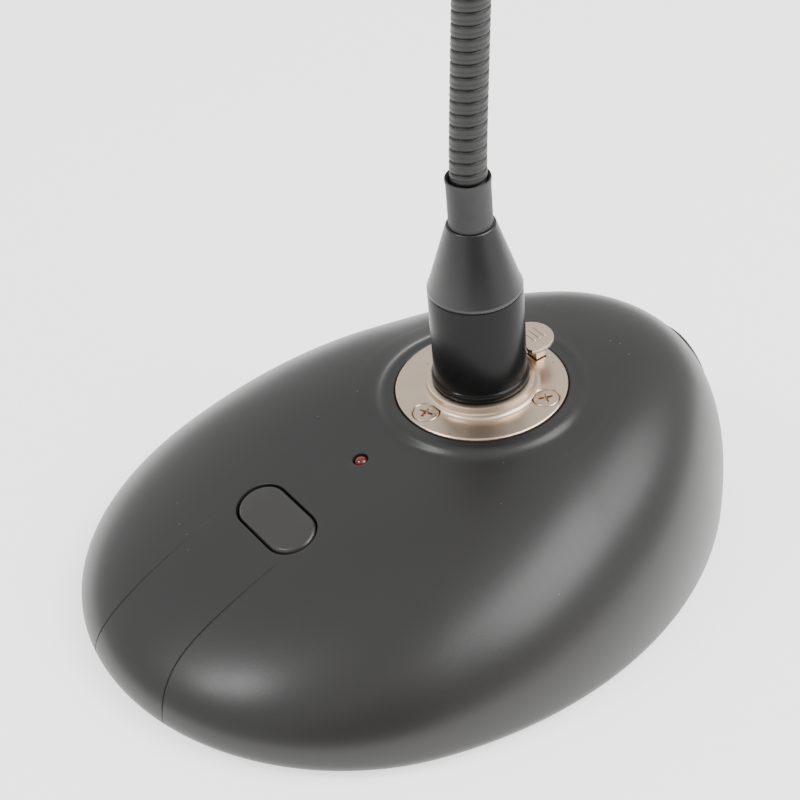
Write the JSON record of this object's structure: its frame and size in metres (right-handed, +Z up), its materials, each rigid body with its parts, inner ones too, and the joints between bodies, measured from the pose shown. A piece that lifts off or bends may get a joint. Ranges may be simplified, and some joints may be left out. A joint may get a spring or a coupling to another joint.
{
  "type": "desktop microphone stand",
  "caption": "Egg-shaped weighted desk base with a press button, an indicator light and a round latched socket that holds a locking plug, a ribbed flexible neck and a slim microphone head.",
  "frame": {"origin": "middle of the base's footprint, on the table", "axes": "+Z up, -Y towards the narrow front end with the button, symmetric about the plane X = 0"},
  "size_m": [0.1136, 0.148, 0.2997],
  "materials": {
    "base_plastic": "satin soft-touch moulding",
    "button_plastic": "satin moulding",
    "plate_paint": "powder coat",
    "foot_rubber": "matte",
    "dark_screws": "black zinc",
    "ballast_iron": "as cast, painted",
    "board_green": "solder mask",
    "part_black": "moulded packages",
    "satin_nickel": "satin nickel",
    "screw_nickel": "nickel",
    "insulator": "moulded",
    "contact_brass": "gold flash",
    "spring_steel": "tempered strip",
    "plug_black": "semi-gloss black",
    "cone_black": "satin black",
    "sleeve_rubber": "matte",
    "neck_black": "satin black",
    "head_black": "satin black",
    "trim_metal": "satin",
    "grille_black": "woven mesh, painted",
    "capsule_metal": "turned",
    "lamp_red": "tinted dome"
  },
  "bodies": {
    "root": {"top_shell": "base_plastic", "base_plate": "plate_paint", "base_screws": "dark_screws", "rubber_feet": "foot_rubber", "ballast_weight": "ballast_iron", "ballast_screws": "dark_screws", "circuit_board": "board_green", "board_screws": "dark_screws", "board_parts": "part_black", "indicator_light": "lamp_red", "light_spacer": "insulator", "switch_body": "part_black", "button_board": "board_green", "button_board_screws": "dark_screws", "socket_flange": "satin_nickel", "flange_screws": "screw_nickel", "socket_insert": "insulator", "socket_contacts": "contact_brass", "latch_spring": "spring_steel", "output_shell": "satin_nickel", "output_screws": "dark_screws", "output_insert": "insulator", "output_pins": "contact_brass"},
    "button": {"push_button": "button_plastic", "switch_plunger": "insulator"},
    "latch": {"latch_tab": "satin_nickel"},
    "plug": {"plug_shell": "plug_black", "plug_insert": "insulator", "plug_pins": "contact_brass", "plug_cone": "cone_black", "neck_sleeve": "sleeve_rubber", "neck_root": "neck_black"},
    "segment_01": {"neck_segment_01": "neck_black"},
    "segment_02": {"neck_segment_02": "neck_black"},
    "segment_03": {"neck_segment_03": "neck_black"},
    "segment_04": {"neck_segment_04": "neck_black"},
    "segment_05": {"neck_segment_05": "neck_black"},
    "segment_06": {"neck_segment_06": "neck_black"},
    "segment_07": {"neck_segment_07": "neck_black"},
    "segment_08": {"neck_segment_08": "neck_black"},
    "segment_09": {"neck_segment_09": "neck_black"},
    "head": {"neck_tip": "neck_black", "head_housing": "head_black", "head_ring": "trim_metal", "head_grille": "grille_black", "mic_capsule": "capsule_metal", "capsule_seat": "sleeve_rubber"}
  },
  "joints": [
    {"name": "button_press", "type": "slide", "parent": "root", "child": "button", "axis": [0, 0.299, -0.9542], "range_m": [0, 0.0012], "stiffness_N_per_m": 600, "springref_m": -0.001},
    {"name": "latch_press", "type": "slide", "parent": "root", "child": "latch", "axis": [0, 0.0958, -0.9954], "range_m": [0, 0.0012], "stiffness_N_per_m": 600, "springref_m": -0.001},
    {"name": "plug_pull", "type": "slide", "parent": "root", "child": "plug", "axis": [0, -0.0958, 0.9954], "range_m": [0, 0.016]},
    {"name": "neck_bend_01", "type": "hinge", "parent": "plug", "child": "segment_01", "pos_m": [0, 0.01043, 0.09076], "axis": [1, 0, 0], "range_deg": [-18, 18]},
    {"name": "neck_lean_02", "type": "hinge", "parent": "segment_01", "child": "segment_02", "pos_m": [0, 0.01043, 0.10868], "axis": [0, 1, 0], "range_deg": [-18, 18]},
    {"name": "neck_bend_03", "type": "hinge", "parent": "segment_02", "child": "segment_03", "pos_m": [0, 0.01043, 0.1266], "axis": [1, 0, 0], "range_deg": [-18, 18]},
    {"name": "neck_lean_04", "type": "hinge", "parent": "segment_03", "child": "segment_04", "pos_m": [0, 0.01043, 0.14452], "axis": [0, 1, 0], "range_deg": [-18, 18]},
    {"name": "neck_bend_05", "type": "hinge", "parent": "segment_04", "child": "segment_05", "pos_m": [0, 0.01043, 0.16244], "axis": [1, 0, 0], "range_deg": [-18, 18]},
    {"name": "neck_lean_06", "type": "hinge", "parent": "segment_05", "child": "segment_06", "pos_m": [0, 0.01043, 0.18036], "axis": [0, 1, 0], "range_deg": [-18, 18]},
    {"name": "neck_bend_07", "type": "hinge", "parent": "segment_06", "child": "segment_07", "pos_m": [0, 0.01043, 0.19828], "axis": [1, 0, 0], "range_deg": [-18, 18]},
    {"name": "neck_lean_08", "type": "hinge", "parent": "segment_07", "child": "segment_08", "pos_m": [0, 0.01043, 0.2162], "axis": [0, 1, 0], "range_deg": [-18, 18]},
    {"name": "neck_bend_09", "type": "hinge", "parent": "segment_08", "child": "segment_09", "pos_m": [0, 0.01043, 0.23412], "axis": [1, 0, 0], "range_deg": [-18, 18]},
    {"name": "neck_lean_10", "type": "hinge", "parent": "segment_09", "child": "head", "pos_m": [0, 0.01043, 0.25204], "axis": [0, 1, 0], "range_deg": [-18, 18]}
  ],
  "couplings": [
    {"joint": "neck_bend_03", "follows": "neck_bend_01", "ratio": 1},
    {"joint": "neck_lean_04", "follows": "neck_lean_02", "ratio": 1},
    {"joint": "neck_bend_05", "follows": "neck_bend_01", "ratio": 1},
    {"joint": "neck_lean_06", "follows": "neck_lean_02", "ratio": 1},
    {"joint": "neck_bend_07", "follows": "neck_bend_01", "ratio": 1},
    {"joint": "neck_lean_08", "follows": "neck_lean_02", "ratio": 1},
    {"joint": "neck_bend_09", "follows": "neck_bend_01", "ratio": 1},
    {"joint": "neck_lean_10", "follows": "neck_lean_02", "ratio": 1}
  ]
}
